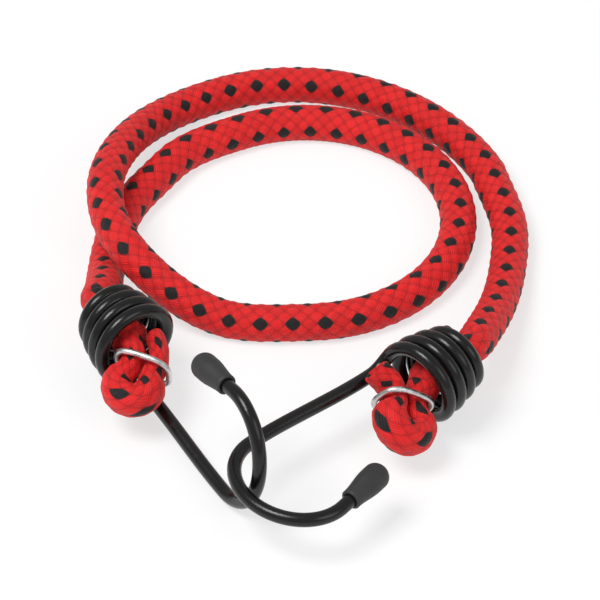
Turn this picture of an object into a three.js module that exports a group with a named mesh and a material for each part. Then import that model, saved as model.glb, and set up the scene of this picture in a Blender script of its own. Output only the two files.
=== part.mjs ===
// Bungee cord with a wire hook wound on each end, lying coiled with its hooks linked.
// Millimetres, +Z up, +X to the right and +Y away from the viewer, origin under the middle of the box.
import * as THREE from 'three';

// Cord: woven sheath over seven rubber strands
const CORD_DIAMETER = 8;
const SHEATH_WALL = 1.1;
const REST_CUT = CORD_DIAMETER / 10;
const STRAND_TO_SHEATH = 0.53;
const STRAND_GAP = 0.34;
const RING_STRANDS = 6;
const CORD_SIDES = 10;
const STRAND_SIDES = 5;

// Loop of the cord on the ground, wound clockwise seen from above
const LOOP_CENTRE = [-3.7, 3.5];
const INNER_RADIUS = 32.6;
const CROSSING_SPREAD = 1.9;
const CROSSING_RADIUS = INNER_RADIUS + CORD_DIAMETER + CROSSING_SPREAD;
const OUTER_SPREAD = 3.7;
const OUTER_RADIUS = CROSSING_RADIUS + OUTER_SPREAD;
const START_SPREAD = 2.2;
const END_SHRINK = 3.8;
const LOOP_START_DEG = 152;
const LOOP_END_DEG = 22 - 360;
const STEPS_PER_TURN = 22;
const CROSSING_GAP = 1.2;
const LEAD_STEPS = 7;

// Hook wire and the coil wound from it around the cord
const WIRE_DIAMETER = 2.9;
const CORD_TO_WIRE = 0.3;
const ENTRY_TIGHT = 0.9;
const COIL_TURNS = 4;
const COIL_GAP = 0.46;
const COIL_PITCH = WIRE_DIAMETER + COIL_GAP;
const MOUTH_RADIUS = 8.1;
const STEPS_PER_COIL_TURN = 16;
const WIRE_SIDES = 8;
const FILLET_RADIUS = 5;
const FILLET_STEPS = 5;
const BEND_STEPS = 12;
const SHANK_LENGTH = 35;
const SHANK_OFFSET = 10.4;
const BEND_RADIUS = 12.7;
const BEND_REACH = 10.8;
const LEG_FLARE_DEG = -9;
const LEG_LENGTH = 13;

// Dipped tip cap on the free end of the wire
const CAP_LENGTH = 11;
const CAP_DIAMETER = 5.6;
const CAP_NECK_DIAMETER = 4.3;
const CAP_NECK_SWELL = 0.2;
const CAP_WALL_END = 1.4;
const CAP_CLEARANCE = 0.3;
const CAP_SIDES = 12;

// Folded end of the cord and the wire ring that clips its two legs together
const RING_WIRE_DIAMETER = 1.3;
const RING_CLEARANCE = 0.45;
const RING_SLIT = 0.8;
const RING_STEPS = 28;
const RING_WIRE_SIDES = 8;
const NECK_TIGHT = 0.84;
const NECK_SQUEEZE = 0.64;
const NECK_SPARE = 0.7;
const NECK_LENGTH = RING_WIRE_DIAMETER + NECK_SPARE;
const LEG_GAP = 0.7;
const ENTRY_RUN = 1.5;
const SPREAD_INSET = 5.2;
const LIP_INSET = 1.2;
const MOUTH_SHARE = 0.85;
const MOUTH_SQUEEZE = 0.75;
const KNOT_START = 2.5;
const RING_CENTRE = 2.4;
const FOLD_SQUEEZE = 0.8;
const FOLD_SPARE = 0.5;
const FOLD_RADIUS = CORD_DIAMETER / 2 * FOLD_SQUEEZE + FOLD_SPARE;
const FOLD_REACH = 3.2;
const FOLD_CENTRE = RING_CENTRE + NECK_LENGTH / 2 + FOLD_REACH;
const FOLD_STEPS = 6;
const TAIL_SQUEEZE = 0.62;
const LEFT_TAIL_TIGHT = 0.84;
const LEFT_TAIL_RADIUS = 8.4;
const LEFT_TAIL_TURN_DEG = -42;
const LEFT_TAIL_LENGTH = 1.2;
const RIGHT_TAIL_TIGHT = 1;
const RIGHT_TAIL_SPARE = 1.2;
const RIGHT_TAIL_RADIUS = CORD_DIAMETER / 2 * TAIL_SQUEEZE + RIGHT_TAIL_SPARE;
const RIGHT_TAIL_TURN_DEG = 58;
const RIGHT_TAIL_LENGTH = 2.6;

// Where each hook points and the place, level with its coil's axis, where its bend starts
const LEFT_AXIS = new THREE.Vector3(0.53, -0.848, 0).normalize();
const GROUND_GAP = 0.1;
const LEFT_BEND = new THREE.Vector3(-18.3, -77.6, SHANK_OFFSET + WIRE_DIAMETER / 2 + GROUND_GAP);
const LEFT_LEAN_DEG = -7;
const LEFT_KNOT = new THREE.Vector3(-0.37, -0.92, -0.24).normalize();
const LEFT_FOLD_SIDE = new THREE.Vector3(1, 0, 0);
const RIGHT_AXIS = new THREE.Vector3(-0.717, -0.697, 0).normalize();
const RIGHT_BEND = new THREE.Vector3(-7.16, -82.43, 11.6);
const RIGHT_LEAN_DEG = -91.5;
const RIGHT_KNOT = new THREE.Vector3(0.06, -0.96, -0.27).normalize();
const RIGHT_FOLD_SIDE = new THREE.Vector3(-0.78, 0, 0.63);

// Finishes
const BRAID = new THREE.MeshStandardMaterial({ color: 0xc43433, roughness: 0.6, metalness: 0 });
const LATEX = new THREE.MeshStandardMaterial({ color: 0xd9cbae, roughness: 0.65, metalness: 0 });
const COATED_WIRE = new THREE.MeshStandardMaterial({ color: 0x1c1c1d, roughness: 0.35, metalness: 0 });
const VINYL = new THREE.MeshStandardMaterial({ color: 0x2b2b2c, roughness: 0.6, metalness: 0 });
const BRIGHT_WIRE = new THREE.MeshStandardMaterial({ color: 0xd4d4d4, roughness: 0.35, metalness: 1 });

const CORD_RADIUS = CORD_DIAMETER / 2;
const BORE_RADIUS = CORD_RADIUS - SHEATH_WALL;
const STRAND_RADIUS = (BORE_RADIUS - STRAND_TO_SHEATH - STRAND_GAP) / 3;
const STRAND_RING_RADIUS = 2 * STRAND_RADIUS + STRAND_GAP;
const WIRE_RADIUS = WIRE_DIAMETER / 2;
const ENTRY_RADIUS = CORD_RADIUS * ENTRY_TIGHT + CORD_TO_WIRE + WIRE_RADIUS;
const COIL_LENGTH = COIL_TURNS * COIL_PITCH + WIRE_DIAMETER;
const REST_HEIGHT = CORD_RADIUS - REST_CUT;
const NECK_OFFSET = CORD_RADIUS * NECK_TIGHT * NECK_SQUEEZE + LEG_GAP / 2;
const LEFT_MOUTH = LEFT_BEND.clone().addScaledVector(LEFT_AXIS, -SHANK_LENGTH);
const RIGHT_MOUTH = RIGHT_BEND.clone().addScaledVector(RIGHT_AXIS, -SHANK_LENGTH);
const UP = new THREE.Vector3(0, 0, 1);

// Points that the cord passes between the loop and each coil
const LEFT_LEAD = [
  new THREE.Vector3(-45.6, -24.5, 8.0),
  new THREE.Vector3(-45.6, -15.0, REST_HEIGHT + 0.7),
  new THREE.Vector3(-44.6, -4.0, REST_HEIGHT),
  new THREE.Vector3(-41.4, 8.0, REST_HEIGHT),
];
const RIGHT_LEAD = [
  new THREE.Vector3(39.6, 2.0, REST_HEIGHT),
  new THREE.Vector3(39.0, -12.0, REST_HEIGHT + 0.4),
  new THREE.Vector3(36.5, -26.0, 5.6),
];

function smooth(low, high, value) {
  const t = Math.min(1, Math.max(0, (value - low) / (high - low)));
  return t * t * (3 - 2 * t);
}

function along(point, direction, distance) {
  return point.clone().addScaledVector(direction, distance);
}

// Closed solid from rings of equal count, with a flat cap at each end.
function solidFromRings(rings) {
  const count = rings[0].length;
  const positions = [];
  const index = [];
  for (const ring of rings) {
    for (const point of ring) {
      positions.push(point.x, point.y, point.z);
    }
  }
  for (let i = 0; i + 1 < rings.length; i++) {
    for (let j = 0; j < count; j++) {
      const k = (j + 1) % count;
      const a = i * count + j;
      const b = i * count + k;
      const c = (i + 1) * count + k;
      const d = (i + 1) * count + j;
      index.push(a, b, c, a, c, d);
    }
  }
  const last = (rings.length - 1) * count;
  for (let j = 1; j + 1 < count; j++) {
    index.push(0, j + 1, j);
    index.push(last, last + j, last + j + 1);
  }
  return geometryFrom(positions, index);
}

// Closed hollow tube from outer and inner rings of equal count.
function tubeFromRings(outer, inner) {
  const count = outer[0].length;
  const total = outer.length * count;
  const positions = [];
  const index = [];
  for (const ring of [...outer, ...inner]) {
    for (const point of ring) {
      positions.push(point.x, point.y, point.z);
    }
  }
  for (let i = 0; i + 1 < outer.length; i++) {
    for (let j = 0; j < count; j++) {
      const k = (j + 1) % count;
      const a = i * count + j;
      const b = i * count + k;
      const c = (i + 1) * count + k;
      const d = (i + 1) * count + j;
      index.push(a, b, c, a, c, d);
      index.push(total + a, total + c, total + b, total + a, total + d, total + c);
    }
  }
  const last = (outer.length - 1) * count;
  for (let j = 0; j < count; j++) {
    const k = (j + 1) % count;
    index.push(j, total + j, total + k, j, total + k, k);
    index.push(last + j, last + k, total + last + k, last + j, total + last + k, total + last + j);
  }
  return geometryFrom(positions, index);
}

function geometryFrom(positions, index) {
  const geometry = new THREE.BufferGeometry();
  geometry.setAttribute('position', new THREE.Float32BufferAttribute(positions, 3));
  geometry.setIndex(index);
  return geometry;
}

// Centre line of one folded end, from the coil's entry out through the mouth and back to the tail.
// Each station is a point with the direction its section is squeezed in and by how much.
function foldedEnd(mouth, axis, knot, foldSide, tail) {
  const side = foldSide.clone().addScaledVector(knot, -foldSide.dot(knot)).normalize();
  const stations = [];
  const normal = side.clone().cross(knot);
  const add = (point, squeeze, tight, tangent) => stations.push({ point, squeeze, normal, tight, tangent });
  const back = knot.clone().negate();
  const root = along(mouth, axis, KNOT_START);
  const place = (distance, offset) => along(along(root, knot, distance), side, offset);
  const near = RING_CENTRE - NECK_LENGTH / 2;
  const far = RING_CENTRE + NECK_LENGTH / 2;
  add(along(mouth, axis, -COIL_LENGTH - ENTRY_RUN), 1, ENTRY_TIGHT);
  add(along(mouth, axis, WIRE_DIAMETER - COIL_LENGTH), 1, ENTRY_TIGHT);
  add(along(mouth, axis, -SPREAD_INSET), 1, 1);
  const lip = along(mouth, axis, -LIP_INSET);
  add(along(lip, side, -NECK_OFFSET * MOUTH_SHARE), MOUTH_SQUEEZE, 1);
  add(place(near, -NECK_OFFSET), NECK_SQUEEZE, NECK_TIGHT, knot.clone());
  add(place(far, -NECK_OFFSET), NECK_SQUEEZE, NECK_TIGHT, knot.clone());
  for (let i = 0; i <= FOLD_STEPS; i++) {
    const angle = Math.PI * i / FOLD_STEPS;
    const reach = FOLD_CENTRE + FOLD_RADIUS * Math.sin(angle);
    const tangent = knot.clone().multiplyScalar(Math.cos(angle)).addScaledVector(side, Math.sin(angle));
    add(place(reach, -FOLD_RADIUS * Math.cos(angle)), FOLD_SQUEEZE, 1, tangent);
  }
  add(place(far, NECK_OFFSET), NECK_SQUEEZE, NECK_TIGHT, back.clone());
  add(place(near, NECK_OFFSET), NECK_SQUEEZE, NECK_TIGHT, back.clone());
  const turn = THREE.MathUtils.degToRad(tail.turnDegrees);
  const bulge = Math.sign(turn) * tail.radius;
  const heading = new THREE.Vector3();
  for (const share of [0.5, 1]) {
    const angle = turn * share;
    const distance = near - tail.radius * Math.sin(Math.abs(angle));
    const offset = NECK_OFFSET + bulge * (1 - Math.cos(angle));
    heading.copy(back).multiplyScalar(Math.cos(angle)).addScaledVector(side, Math.sin(angle));
    add(place(distance, offset), TAIL_SQUEEZE, tail.tight, heading.clone());
  }
  const last = stations[stations.length - 1].point;
  add(along(last, heading, tail.length), TAIL_SQUEEZE, tail.tight, heading.clone());
  return { stations, root, side };
}

// The left tail turns back into its mouth, the right tail stands out beside its mouth.
const leftEnd = foldedEnd(LEFT_MOUTH, LEFT_AXIS, LEFT_KNOT, LEFT_FOLD_SIDE, {
  turnDegrees: LEFT_TAIL_TURN_DEG,
  radius: LEFT_TAIL_RADIUS,
  length: LEFT_TAIL_LENGTH,
  tight: LEFT_TAIL_TIGHT,
});
const rightEnd = foldedEnd(RIGHT_MOUTH, RIGHT_AXIS, RIGHT_KNOT, RIGHT_FOLD_SIDE, {
  turnDegrees: RIGHT_TAIL_TURN_DEG,
  radius: RIGHT_TAIL_RADIUS,
  length: RIGHT_TAIL_LENGTH,
  tight: RIGHT_TAIL_TIGHT,
});

// Loop on the ground: one turn at the inner radius, then over the first strand and round outside it.
function loopPoint(degrees) {
  const turned = (LOOP_START_DEG - degrees) / 360;
  let radius = INNER_RADIUS + START_SPREAD * (1 - smooth(0, 0.1, turned));
  radius += (CROSSING_RADIUS - INNER_RADIUS) * smooth(0.66, 0.88, turned);
  radius += (OUTER_RADIUS - CROSSING_RADIUS) * smooth(0.95, 1.1, turned);
  radius -= END_SHRINK * smooth(1.12, 1.34, turned);
  const lift = smooth(0.73, 0.87, turned) * (1 - smooth(0.91, 1.1, turned));
  const angle = THREE.MathUtils.degToRad(degrees);
  return new THREE.Vector3(
    LOOP_CENTRE[0] + radius * Math.cos(angle),
    LOOP_CENTRE[1] + radius * Math.sin(angle),
    REST_HEIGHT + lift * (CORD_DIAMETER + CROSSING_GAP),
  );
}

const loopSteps = Math.round((LOOP_START_DEG - LOOP_END_DEG) / 360 * STEPS_PER_TURN);
const loopPoints = [];
for (let i = 0; i <= loopSteps; i++) {
  loopPoints.push(loopPoint(LOOP_START_DEG + (LOOP_END_DEG - LOOP_START_DEG) * i / loopSteps));
}

// Free run between the loop and a coil
function freeRun(before, points, after) {
  const curve = new THREE.CatmullRomCurve3([before, ...points, after], false, 'centripetal');
  return curve.getSpacedPoints(LEAD_STEPS).slice(1, -1);
}

const leftStations = [...leftEnd.stations].reverse();
for (const station of leftStations) {
  station.tangent?.negate();
}
const leftEntry = leftEnd.stations[0].point;
const rightEntry = rightEnd.stations[0].point;
const leftRun = freeRun(leftEntry, LEFT_LEAD, loopPoints[0]);
const rightRun = freeRun(loopPoints[loopPoints.length - 1], RIGHT_LEAD, rightEntry);
const plain = (point) => ({ point, squeeze: 1, normal: null, tight: 1, tangent: undefined });
const stations = [
  ...leftStations,
  ...leftRun.map(plain),
  ...loopPoints.map(plain),
  ...rightRun.map(plain),
  ...rightEnd.stations,
];

// Section frames carried along the centre line without twist, started upright in the loop.
function addFrames(list) {
  for (let i = 0; i < list.length; i++) {
    const before = list[Math.max(0, i - 1)].point;
    const after = list[Math.min(list.length - 1, i + 1)].point;
    list[i].tangent ??= after.clone().sub(before).normalize();
  }
  const middle = Math.round(list.length / 2);
  const settle = (station, up) => {
    station.up = up.clone().addScaledVector(station.tangent, -up.dot(station.tangent)).normalize();
    station.across = station.tangent.clone().cross(station.up);
  };
  settle(list[middle], UP);
  for (let i = middle + 1; i < list.length; i++) {
    settle(list[i], list[i - 1].up);
  }
  for (let i = middle - 1; i >= 0; i--) {
    settle(list[i], list[i + 1].up);
  }
  for (const station of list) {
    station.pinch = station.normal ? station.normal.clone().cross(station.tangent).normalize() : null;
  }
}
addFrames(stations);

function sectionPoint(station, up, across) {
  const offset = station.up.clone().multiplyScalar(up).addScaledVector(station.across, across);
  offset.multiplyScalar(station.tight);
  if (station.pinch) {
    offset.addScaledVector(station.pinch, -(1 - station.squeeze) * offset.dot(station.pinch));
  }
  return station.point.clone().add(offset);
}

function sectionRing(station, radius, sides, up, across, floor) {
  const ring = [];
  for (let i = 0; i < sides; i++) {
    const angle = Math.PI * (2 * i + 1) / sides;
    const point = sectionPoint(station, up + radius * Math.cos(angle), across + radius * Math.sin(angle));
    point.z = Math.max(point.z, floor);
    ring.push(point);
  }
  return ring;
}

// Hook wire: its centre line in the coil's frame, as distance past the mouth, towards the shank, across.
function hookCentreLine() {
  const points = [];
  const coilEnd = -WIRE_RADIUS;
  const coilStart = coilEnd - COIL_TURNS * COIL_PITCH;
  const endAngle = -FILLET_RADIUS / MOUTH_RADIUS;
  const steps = Math.round(COIL_TURNS * STEPS_PER_COIL_TURN);
  for (let i = 0; i <= steps; i++) {
    const t = i / steps;
    const angle = endAngle - 2 * Math.PI * COIL_TURNS * (1 - t);
    const radius = ENTRY_RADIUS + (MOUTH_RADIUS - ENTRY_RADIUS) * Math.sin(Math.PI / 2 * t);
    const distance = coilStart + (coilEnd - coilStart) * t;
    points.push([distance, radius * Math.cos(angle), radius * Math.sin(angle)]);
  }
  for (let i = 1; i <= FILLET_STEPS; i++) {
    const turn = Math.PI / 2 * i / FILLET_STEPS;
    const angle = (FILLET_RADIUS * Math.sin(turn) - FILLET_RADIUS) / MOUTH_RADIUS;
    const distance = coilEnd + FILLET_RADIUS * (1 - Math.cos(turn));
    points.push([distance, MOUTH_RADIUS * Math.cos(angle), MOUTH_RADIUS * Math.sin(angle)]);
  }
  const flare = THREE.MathUtils.degToRad(LEG_FLARE_DEG);
  const bendEnd = Math.PI - flare;
  const bendMiddle = SHANK_OFFSET - BEND_RADIUS;
  for (let i = 0; i <= BEND_STEPS; i++) {
    const angle = bendEnd * i / BEND_STEPS;
    points.push([
      SHANK_LENGTH + BEND_REACH * Math.sin(angle),
      bendMiddle + BEND_RADIUS * Math.cos(angle),
      0,
    ]);
  }
  const last = points[points.length - 1];
  const legEnd = LEG_LENGTH - CAP_WALL_END;
  points.push([last[0] - legEnd * Math.cos(flare), last[1] - legEnd * Math.sin(flare), 0]);
  return points;
}

function hookFrame(mouth, axis, shankSide) {
  const matrix = new THREE.Matrix4();
  const across = axis.clone().cross(shankSide);
  matrix.makeBasis(axis, shankSide, across);
  matrix.setPosition(mouth);
  return matrix;
}

function hookRings() {
  const line = hookCentreLine().map((point) => ({ point: new THREE.Vector3(...point) }));
  for (let i = 0; i < line.length; i++) {
    const before = line[Math.max(0, i - 1)].point;
    const after = line[Math.min(line.length - 1, i + 1)].point;
    line[i].tangent = after.clone().sub(before).normalize();
  }
  let up = new THREE.Vector3(1, 0, 0);
  const rings = [];
  for (const station of line) {
    up = up.clone().addScaledVector(station.tangent, -up.dot(station.tangent)).normalize();
    const across = station.tangent.clone().cross(up);
    const ring = [];
    for (let i = 0; i < WIRE_SIDES; i++) {
      const angle = Math.PI * (2 * i + 1) / WIRE_SIDES;
      const point = station.point.clone();
      point.addScaledVector(up, WIRE_RADIUS * Math.cos(angle));
      point.addScaledVector(across, WIRE_RADIUS * Math.sin(angle));
      ring.push(point);
    }
    rings.push(ring);
  }
  return rings;
}

function hookWire(frame) {
  const geometry = solidFromRings(hookRings());
  geometry.applyMatrix4(frame);
  return geometry;
}

// Tip cap: a blind tapered sleeve with a rounded end, turned about the wire's return leg.
function tipCap(frame) {
  const bore = WIRE_RADIUS + CAP_CLEARANCE;
  const neck = CAP_NECK_DIAMETER / 2;
  const full = CAP_DIAMETER / 2;
  const round = full * 0.9;
  const profile = [
    [0, CAP_LENGTH - CAP_WALL_END + CAP_CLEARANCE],
    [bore, CAP_LENGTH - CAP_WALL_END + CAP_CLEARANCE],
    [bore, 0],
    [neck, 0],
    [neck + CAP_NECK_SWELL, CAP_LENGTH * 0.25],
    [full, CAP_LENGTH * 0.62],
  ];
  for (let i = 0; i <= 4; i++) {
    const angle = Math.PI / 2 * i / 4;
    profile.push([full * Math.cos(angle), CAP_LENGTH - round + round * Math.sin(angle)]);
  }
  profile[profile.length - 1][0] = 0;
  const outline = profile.map(([radius, distance]) => new THREE.Vector2(radius, distance));
  const geometry = new THREE.LatheGeometry(outline, CAP_SIDES);
  const line = hookCentreLine();
  const end = new THREE.Vector3(...line[line.length - 1]);
  const start = new THREE.Vector3(...line[line.length - 2]);
  const direction = end.clone().sub(start).normalize();
  const base = along(end, direction, CAP_WALL_END - CAP_LENGTH);
  const turn = new THREE.Quaternion().setFromUnitVectors(new THREE.Vector3(0, 1, 0), direction);
  geometry.applyQuaternion(turn);
  geometry.translate(base.x, base.y, base.z);
  geometry.applyMatrix4(frame);
  return geometry;
}

// Clip: a steel wire ring bent round both legs of the fold, its two ends meeting at a slit underneath.
function clipRing(end, knot) {
  const halfWide = NECK_OFFSET + CORD_RADIUS * NECK_TIGHT * NECK_SQUEEZE + RING_CLEARANCE;
  const halfHigh = CORD_RADIUS * NECK_TIGHT + RING_CLEARANCE;
  const wireRadius = RING_WIRE_DIAMETER / 2;
  const slitAngle = (RING_SLIT / 2 / (halfWide + wireRadius)) ** 1.5;
  const high = knot.clone().cross(end.side);
  const slitPlace = high.z > 0 ? Math.PI : 0;
  const middle = along(end.root, knot, RING_CENTRE);
  const wall = (distance, angle, rise) => {
    const x = (halfWide + distance) * Math.sign(Math.sin(angle)) * Math.abs(Math.sin(angle)) ** (2 / 3);
    const y = (halfHigh + distance) * Math.sign(Math.cos(angle)) * Math.abs(Math.cos(angle)) ** (2 / 3);
    return along(along(along(middle, end.side, x), high, y), knot, rise);
  };
  const rings = [];
  for (let i = 0; i <= RING_STEPS; i++) {
    const angle = slitPlace + slitAngle + (2 * Math.PI - 2 * slitAngle) * i / RING_STEPS;
    const ring = [];
    for (let j = 0; j < RING_WIRE_SIDES; j++) {
      const round = Math.PI * (2 * j + 1) / RING_WIRE_SIDES;
      ring.push(wall(wireRadius * (1 - Math.cos(round)), angle, -wireRadius * Math.sin(round)));
    }
    rings.push(ring);
  }
  return solidFromRings(rings);
}

// Least gap of a swept piece to itself: from the points of its rings to the long edges between later rings.
function leastGap(rings, skip) {
  const nearest = new THREE.Vector3();
  const edge = new THREE.Line3();
  let least = Infinity;
  for (let i = 0; i < rings.length; i++) {
    for (let j = 0; j + 1 < rings.length; j++) {
      const apart = j > i ? j - i : i - j - 1;
      if (apart < skip) continue;
      for (let k = 0; k < rings[j].length; k++) {
        edge.set(rings[j][k], rings[j + 1][k]);
        for (const point of rings[i]) {
          edge.closestPointToPoint(point, true, nearest);
          least = Math.min(least, point.distanceTo(nearest));
        }
      }
    }
  }
  return least;
}

const part = new THREE.Group();
function addPiece(name, geometry, material) {
  const mesh = new THREE.Mesh(geometry, material);
  mesh.name = name;
  part.add(mesh);
}

const outerRings = stations.map((s) => sectionRing(s, CORD_RADIUS, CORD_SIDES, 0, 0, 0));
const boreRings = stations.map((s) => sectionRing(s, BORE_RADIUS, CORD_SIDES, 0, 0, 0));
addPiece('sheath', tubeFromRings(outerRings, boreRings), BRAID);

function addStrand(name, up, across) {
  const rings = stations.map((s) => sectionRing(s, STRAND_RADIUS, STRAND_SIDES, up, across, 0));
  addPiece(name, solidFromRings(rings), LATEX);
}
addStrand('strand_core', 0, 0);
for (let i = 0; i < RING_STRANDS; i++) {
  const angle = 2 * Math.PI * i / RING_STRANDS;
  addStrand(`strand_${i + 1}`, STRAND_RING_RADIUS * Math.cos(angle), STRAND_RING_RADIUS * Math.sin(angle));
}

// The shank hangs below the coil's axis, leaning over by a turn about that axis.
function shankSide(axis, leanDegrees) {
  return UP.clone().negate().applyAxisAngle(axis, THREE.MathUtils.degToRad(leanDegrees));
}
const leftFrame = hookFrame(LEFT_MOUTH, LEFT_AXIS, shankSide(LEFT_AXIS, LEFT_LEAN_DEG));
const rightFrame = hookFrame(RIGHT_MOUTH, RIGHT_AXIS, shankSide(RIGHT_AXIS, RIGHT_LEAN_DEG));
addPiece('left_hook', hookWire(leftFrame), COATED_WIRE);
addPiece('left_tip', tipCap(leftFrame), VINYL);
addPiece('left_clip', clipRing(leftEnd, LEFT_KNOT), BRIGHT_WIRE);
addPiece('right_hook', hookWire(rightFrame), COATED_WIRE);
addPiece('right_tip', tipCap(rightFrame), VINYL);
addPiece('right_clip', clipRing(rightEnd, RIGHT_KNOT), BRIGHT_WIRE);

// Stand the part over the origin
const box = new THREE.Box3().setFromObject(part);
const middle = box.getCenter(new THREE.Vector3());
for (const mesh of part.children) {
  mesh.geometry.translate(-middle.x, -middle.y, -box.min.z);
}

let cordLength = 0;
for (let i = 0; i + 1 < stations.length; i++) {
  cordLength += stations[i].point.distanceTo(stations[i + 1].point);
}
console.log('cord length', cordLength.toFixed(1));

// Gaps are taken past the stations that follow one another round a bend
const cordGap = leastGap(outerRings, FOLD_STEPS + 1);
const hookGap = leastGap(hookRings(), STEPS_PER_COIL_TURN / 2);
console.log('least gap of the cord to itself', cordGap.toFixed(3));
console.log('least gap of the hook wire to itself', hookGap.toFixed(3));
console.log('moved by', -middle.x.toFixed(3), -middle.y.toFixed(3), -box.min.z.toFixed(3));

export default part;
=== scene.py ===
# Bungee cord, coiled with its hooks linked: woven sheath, wound wire hooks, dipped tips and clip rings.
import math
from dataclasses import dataclass

import bpy
from mathutils import Matrix, Vector


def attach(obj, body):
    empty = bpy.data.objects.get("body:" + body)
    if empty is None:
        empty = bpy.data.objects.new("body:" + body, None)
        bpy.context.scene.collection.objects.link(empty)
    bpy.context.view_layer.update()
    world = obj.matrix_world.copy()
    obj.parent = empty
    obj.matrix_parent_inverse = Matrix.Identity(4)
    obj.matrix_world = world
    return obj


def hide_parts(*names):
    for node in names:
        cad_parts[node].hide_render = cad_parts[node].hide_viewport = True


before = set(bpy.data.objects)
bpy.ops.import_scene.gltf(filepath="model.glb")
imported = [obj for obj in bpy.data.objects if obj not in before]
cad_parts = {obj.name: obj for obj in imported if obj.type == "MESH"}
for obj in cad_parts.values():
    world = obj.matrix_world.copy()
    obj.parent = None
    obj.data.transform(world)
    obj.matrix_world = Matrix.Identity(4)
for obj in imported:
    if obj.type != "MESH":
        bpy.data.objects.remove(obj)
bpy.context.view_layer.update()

# Sizes are in millimetres, as in the part's source; meshes are made in metres
MM = 0.001

# Cord, with its underside pressed flat by the rest cut
CORD_DIAMETER = 8.0
SHEATH_WALL = 1.1
REST_CUT = CORD_DIAMETER / 10
STRAND_TO_SHEATH = 0.53
STRAND_GAP = 0.34
RING_STRANDS = 6

# The strands are drawn a little thinner than their solids, with rounded ends
STRAND_SHARE = 0.95
STRAND_ROUNDING = 0.12

# Rim of a cut end: how far its edge draws in, how far it stands out, and how deep its hole is
RIM_INSET = 0.3
RIM_OUT_EDGE = 0.25
RIM_OUT_MIDDLE = 0.35
RIM_OUT_BORE = 0.2
RIM_HOLE_DEPTH = 0.5

# Loop on the ground
LOOP_CENTRE = (-3.7, 3.5)
INNER_RADIUS = 32.6
CROSSING_SPREAD = 1.9
CROSSING_RADIUS = INNER_RADIUS + CORD_DIAMETER + CROSSING_SPREAD
OUTER_SPREAD = 3.7
OUTER_RADIUS = CROSSING_RADIUS + OUTER_SPREAD
START_SPREAD = 2.2
END_SHRINK = 3.8
LOOP_START_DEG = 152
LOOP_END_DEG = 22 - 360
CROSSING_GAP = 1.2

# Stretches of the loop over which its radius and height change, in turns from its start
SETTLE_TURNS = (0, 0.1)
WIDEN_TURNS = (0.66, 0.88)
OUTER_TURNS = (0.95, 1.1)
SHRINK_TURNS = (1.12, 1.34)
CLIMB_TURNS = (0.73, 0.87)
DESCENT_TURNS = (0.91, 1.1)

# Hook wire
WIRE_DIAMETER = 2.9
CORD_TO_WIRE = 0.3
ENTRY_TIGHT = 0.9
COIL_TURNS = 4
COIL_GAP = 0.46
COIL_PITCH = WIRE_DIAMETER + COIL_GAP
MOUTH_RADIUS = 8.1
FILLET_RADIUS = 5.0
SHANK_LENGTH = 35
SHANK_OFFSET = 10.4
BEND_RADIUS = 12.7
BEND_REACH = 10.8
LEG_FLARE_DEG = -9
LEG_LENGTH = 13
WIRE_ROUNDING = 0.35

# Dipped tip
CAP_LENGTH = 11.0
CAP_DIAMETER = 5.6
CAP_NECK_DIAMETER = 4.3
CAP_WALL_END = 1.4
CAP_BORE_GAP = 0.02
CAP_BORE_DEPTH = 1.2
CAP_BORE_BEVEL = 0.15
CAP_RIM_INSET = 0.2
CAP_RIM_HEIGHT = 0.25

# It flares between these shares of the way to its full width, which it has at this share of its length,
# and its round end is this share of its full radius long
CAP_FLARE = (0.05, 1.0)
CAP_FULL_SHARE = 0.62
CAP_ROUND_SHARE = 0.9

# Folded end and the wire ring that clips its two legs together
RING_WIRE_DIAMETER = 1.3
RING_CLEARANCE = 0.45
RING_SLIT = 0.8
RING_ROUNDING = 0.2
NECK_TIGHT = 0.84
NECK_SQUEEZE = 0.64
NECK_SPARE = 0.7
NECK_LENGTH = RING_WIRE_DIAMETER + NECK_SPARE
LEG_GAP = 0.7
ENTRY_RUN = 1.5
SPREAD_INSET = 5.2
LIP_INSET = 1.2
MOUTH_SHARE = 0.85
MOUTH_SQUEEZE = 0.75
KNOT_START = 2.5
RING_CENTRE = 2.4
FOLD_SQUEEZE = 0.8
FOLD_CLEARANCE = 0.03
FOLD_STEPS = 6
TAIL_SQUEEZE = 0.62
RIGHT_TAIL_SPARE = 1.2
GROUND_GAP = 0.1

# Power of the sine and cosine in the ring's outline, which squares its corners a little
RING_CORNER = 2 / 3

# The woven legs swell by this much until they press on one another, and so does each fold
LEG_FILL = 1.15
LEFT_FOLD_FILL = 1.05
RIGHT_FOLD_FILL = 1.15

# The route is written before the part is centred over the origin, and moved by this
CENTRING = Vector((3.091, 22.181, 0))

# Braid: yarns in each direction, length of one diamond along the cord, and how far its pillows stand out
BRAID_YARNS = 8
BRAID_CELL = 3.25
BRAID_RELIEF = 0.13
FILAMENTS = 5

# Black tracer diamonds: their spacing in braid cells around and along the cord, and their reach
TRACER_AROUND = 4
TRACER_ALONG = 2
TRACER_SIZE = 1.0

# Braid cells from a tracer's row to the loop's start
FIRST_ROW = 3.6

# The braid turns twice about the cord by an eighth of a turn, over these distances from the loop's start
TWIST_SHARE = 1 / 8
FIRST_TWIST = (85, 140)
SECOND_TWIST = (250, 320)

# How finely the meshes are divided; the first two are in millimetres, and "every" counts samples
SHEATH_STEP = 0.42
RUN_STEP = 3.0
LOOP_STEPS = 60
SHEATH_SIDES = 64
STRAND_EVERY = 6
STRAND_SIDES = 10
STEPS_PER_COIL_TURN = 40
FILLET_STEPS = 10
SHANK_STEPS = 16
BEND_STEPS = 40
LEG_STEPS = 8
WIRE_SIDES = 24
CAP_STEPS = 12
CAP_SIDES = 40
RING_STEPS = 96
RING_SIDES = 16
ROUND_ANGLES = [0.0, math.pi / 6, math.pi / 3, math.pi / 2]

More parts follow.
